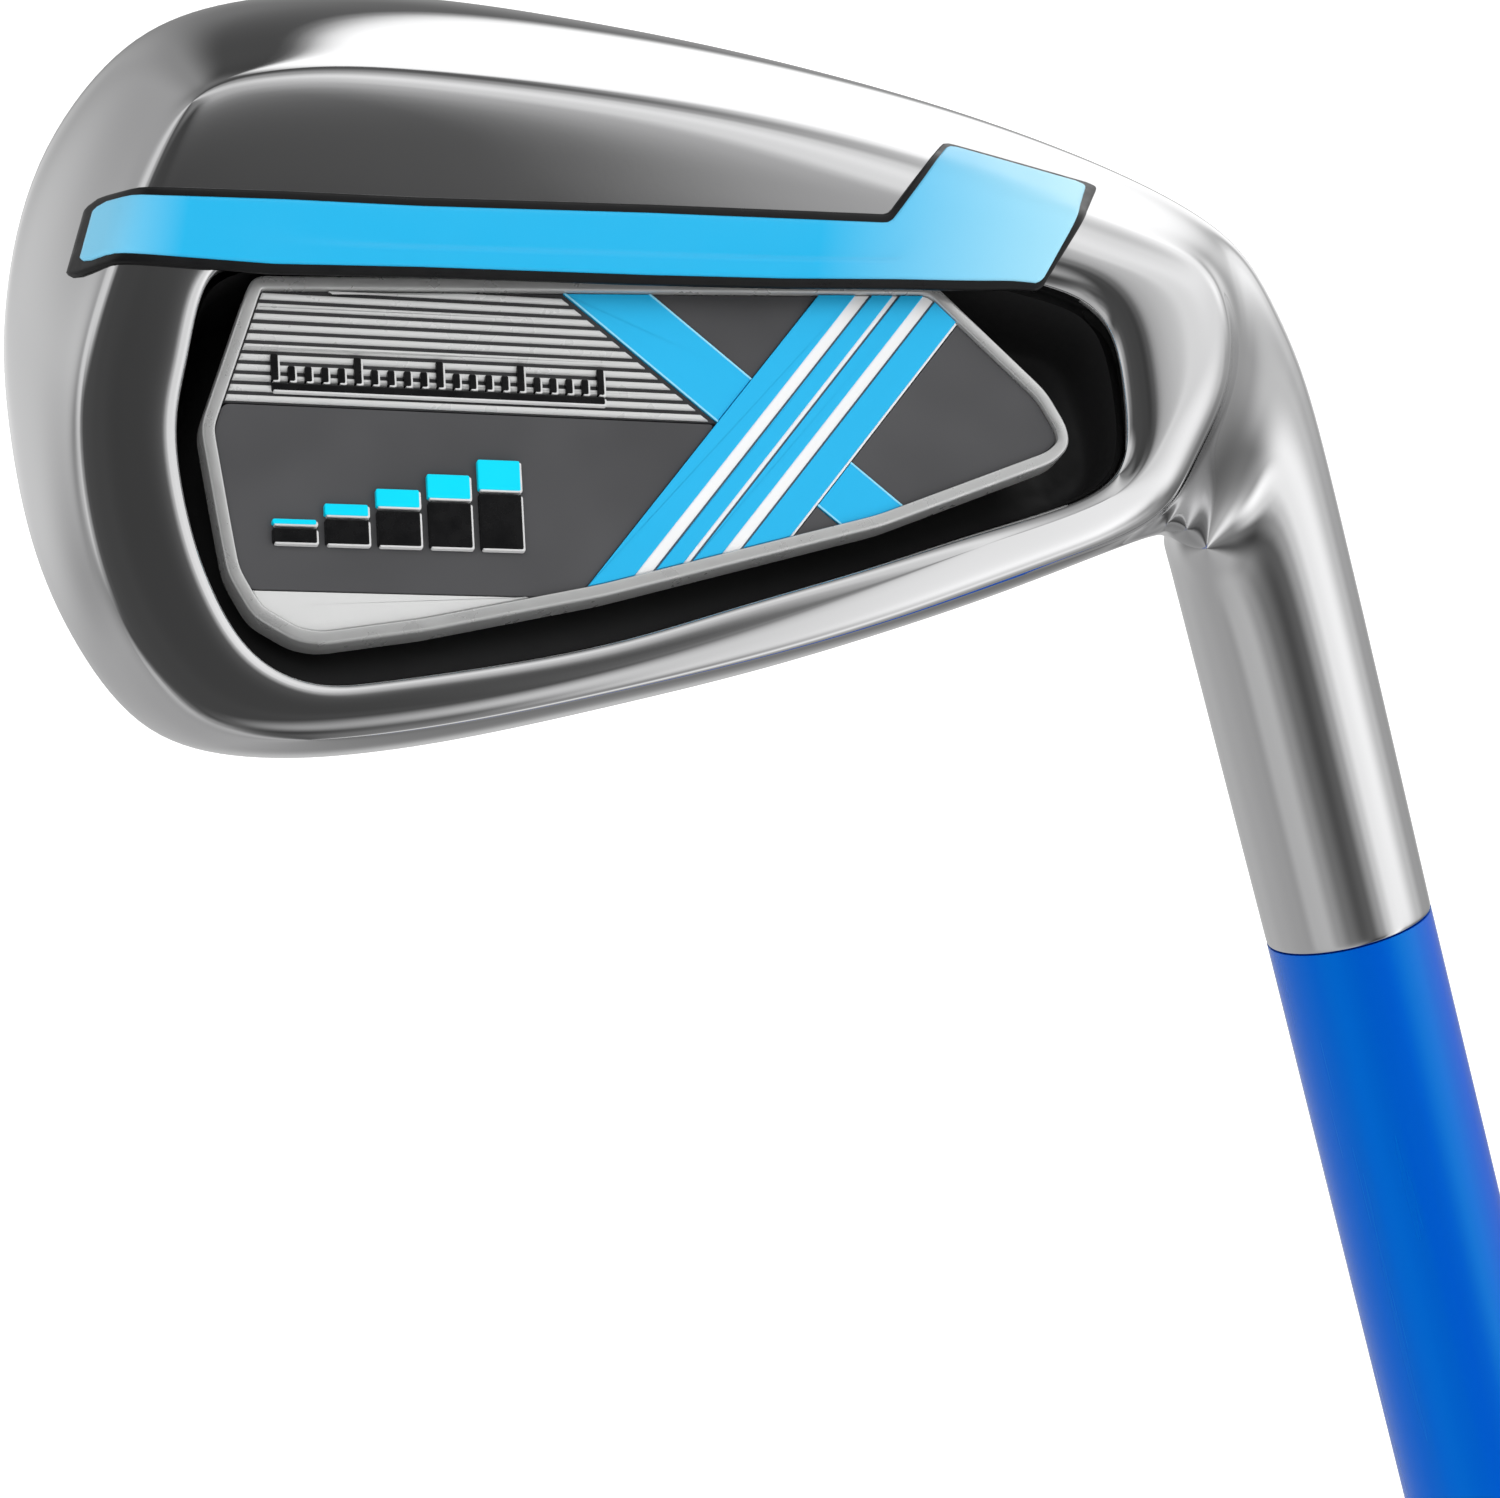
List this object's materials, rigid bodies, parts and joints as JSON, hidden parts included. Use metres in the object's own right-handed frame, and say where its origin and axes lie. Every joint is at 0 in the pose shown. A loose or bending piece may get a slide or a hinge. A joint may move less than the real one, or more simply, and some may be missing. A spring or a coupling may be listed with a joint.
{
  "type": "golf swing trainer club",
  "caption": "Iron-type golf swing trainer: cavity-back steel head on a thick, very flexible blue shaft with a tapered rubber grip.",
  "frame": {"origin": "centre of the grip's butt cap, on its flat end", "axes": "+Z along the straight shaft towards the head, -X towards the toe side, +Y towards the striking face, -Y towards the cavity back"},
  "size_m": [0.0965, 0.0458, 1.0422],
  "materials": {
    "rubber": "matte black rubber with thin blue lines",
    "tape": "double-sided grip tape, plain",
    "epoxy": "cured adhesive",
    "steel": "satin and polished cast stainless steel",
    "silver": "bright satin silver",
    "foam_pad": "black adhesive foam",
    "dark_field": "dark grey metallic enamel",
    "light_field": "light grey metallic enamel",
    "black_paint": "satin black paint",
    "sky_blue": "glossy sky blue enamel",
    "white": "white enamel",
    "shaft_blue": "glossy royal blue nylon"
  },
  "bodies": {
    "grip_end": {"grip_sleeve": "rubber", "grip_end_cap": "rubber", "grip_tape": "tape", "shaft_length_01": "shaft_blue"},
    "shaft_bend_02": {"shaft_length_02": "shaft_blue"},
    "shaft_bend_03": {"shaft_length_03": "shaft_blue"},
    "shaft_bend_04": {"shaft_length_04": "shaft_blue"},
    "shaft_bend_05": {"shaft_length_05": "shaft_blue"},
    "shaft_bend_06": {"shaft_length_06": "shaft_blue"},
    "shaft_bend_07": {"shaft_length_07": "shaft_blue"},
    "shaft_bend_08": {"shaft_length_08": "shaft_blue"},
    "shaft_bend_09": {"shaft_length_09": "shaft_blue"},
    "shaft_bend_10": {"shaft_length_10": "shaft_blue"},
    "shaft_bend_11": {"shaft_length_11": "shaft_blue"},
    "shaft_bend_12": {"shaft_length_12": "shaft_blue"},
    "head_end": {"back_band": "sky_blue", "badge_adhesive_pad": "foam_pad", "badge_corner_plate": "light_field", "badge_field_heel": "dark_field", "badge_field_sole": "dark_field", "badge_field_toe": "dark_field", "badge_field_top": "dark_field", "badge_grille": "silver", "badge_plate": "silver", "badge_step_motif": "sky_blue", "band_border": "black_paint", "cross_stripe_heel": "sky_blue", "cross_stripe_toe": "sky_blue", "grille_tick_row": "black_paint", "head_casting": "steel", "hosel_bond": "epoxy", "main_stripe_bar_1": "sky_blue", "main_stripe_bar_2": "sky_blue", "main_stripe_bar_3": "sky_blue", "main_stripe_bar_4": "sky_blue", "main_stripe_base": "white", "shaft_length_13": "shaft_blue"}
  },
  "joints": [
    {"name": "face_flex_01", "type": "hinge", "parent": "grip_end", "child": "shaft_bend_02", "pos_m": [0, 0, 0.282], "axis": [1, 0, 0], "range_deg": [-9, 9], "stiffness_Nm_per_rad": 24},
    {"name": "side_flex_02", "type": "hinge", "parent": "shaft_bend_02", "child": "shaft_bend_03", "pos_m": [0, 0, 0.34132], "axis": [0, 1, 0], "range_deg": [-9.6, 9.6], "stiffness_Nm_per_rad": 24},
    {"name": "face_flex_03", "type": "hinge", "parent": "shaft_bend_03", "child": "shaft_bend_04", "pos_m": [0, 0, 0.40064], "axis": [1, 0, 0], "range_deg": [-7.42, 7.42], "stiffness_Nm_per_rad": 24},
    {"name": "side_flex_04", "type": "hinge", "parent": "shaft_bend_04", "child": "shaft_bend_05", "pos_m": [0, 0, 0.45996], "axis": [0, 1, 0], "range_deg": [-7.75, 7.75], "stiffness_Nm_per_rad": 24},
    {"name": "face_flex_05", "type": "hinge", "parent": "shaft_bend_05", "child": "shaft_bend_06", "pos_m": [0, 0, 0.51927], "axis": [1, 0, 0], "range_deg": [-5.84, 5.84], "stiffness_Nm_per_rad": 24},
    {"name": "side_flex_06", "type": "hinge", "parent": "shaft_bend_06", "child": "shaft_bend_07", "pos_m": [0, 0, 0.57859], "axis": [0, 1, 0], "range_deg": [-5.91, 5.91], "stiffness_Nm_per_rad": 24},
    {"name": "face_flex_07", "type": "hinge", "parent": "shaft_bend_07", "child": "shaft_bend_08", "pos_m": [0, 0, 0.63791], "axis": [1, 0, 0], "range_deg": [-4.26, 4.26], "stiffness_Nm_per_rad": 24},
    {"name": "side_flex_08", "type": "hinge", "parent": "shaft_bend_08", "child": "shaft_bend_09", "pos_m": [0, 0, 0.69723], "axis": [0, 1, 0], "range_deg": [-4.06, 4.06], "stiffness_Nm_per_rad": 24},
    {"name": "face_flex_09", "type": "hinge", "parent": "shaft_bend_09", "child": "shaft_bend_10", "pos_m": [0, 0, 0.75655], "axis": [1, 0, 0], "range_deg": [-2.68, 2.68], "stiffness_Nm_per_rad": 24},
    {"name": "side_flex_10", "type": "hinge", "parent": "shaft_bend_10", "child": "shaft_bend_11", "pos_m": [0, 0, 0.81586], "axis": [0, 1, 0], "range_deg": [-2.21, 2.21], "stiffness_Nm_per_rad": 24},
    {"name": "face_flex_11", "type": "hinge", "parent": "shaft_bend_11", "child": "shaft_bend_12", "pos_m": [0, 0, 0.87518], "axis": [1, 0, 0], "range_deg": [-1.1, 1.1], "stiffness_Nm_per_rad": 24},
    {"name": "side_flex_12", "type": "hinge", "parent": "shaft_bend_12", "child": "head_end", "pos_m": [0, 0, 0.9345], "axis": [0, 1, 0], "range_deg": [-0.367, 0.367], "stiffness_Nm_per_rad": 24}
  ],
  "couplings": [
    {"joint": "face_flex_03", "follows": "face_flex_01", "ratio": 0.8245},
    {"joint": "side_flex_04", "follows": "side_flex_02", "ratio": 0.8076},
    {"joint": "face_flex_05", "follows": "face_flex_01", "ratio": 0.649},
    {"joint": "side_flex_06", "follows": "side_flex_02", "ratio": 0.6152},
    {"joint": "face_flex_07", "follows": "face_flex_01", "ratio": 0.4735},
    {"joint": "side_flex_08", "follows": "side_flex_02", "ratio": 0.4228},
    {"joint": "face_flex_09", "follows": "face_flex_01", "ratio": 0.298},
    {"joint": "side_flex_10", "follows": "side_flex_02", "ratio": 0.2304},
    {"joint": "face_flex_11", "follows": "face_flex_01", "ratio": 0.1225},
    {"joint": "side_flex_12", "follows": "side_flex_02", "ratio": 0.0381}
  ]
}
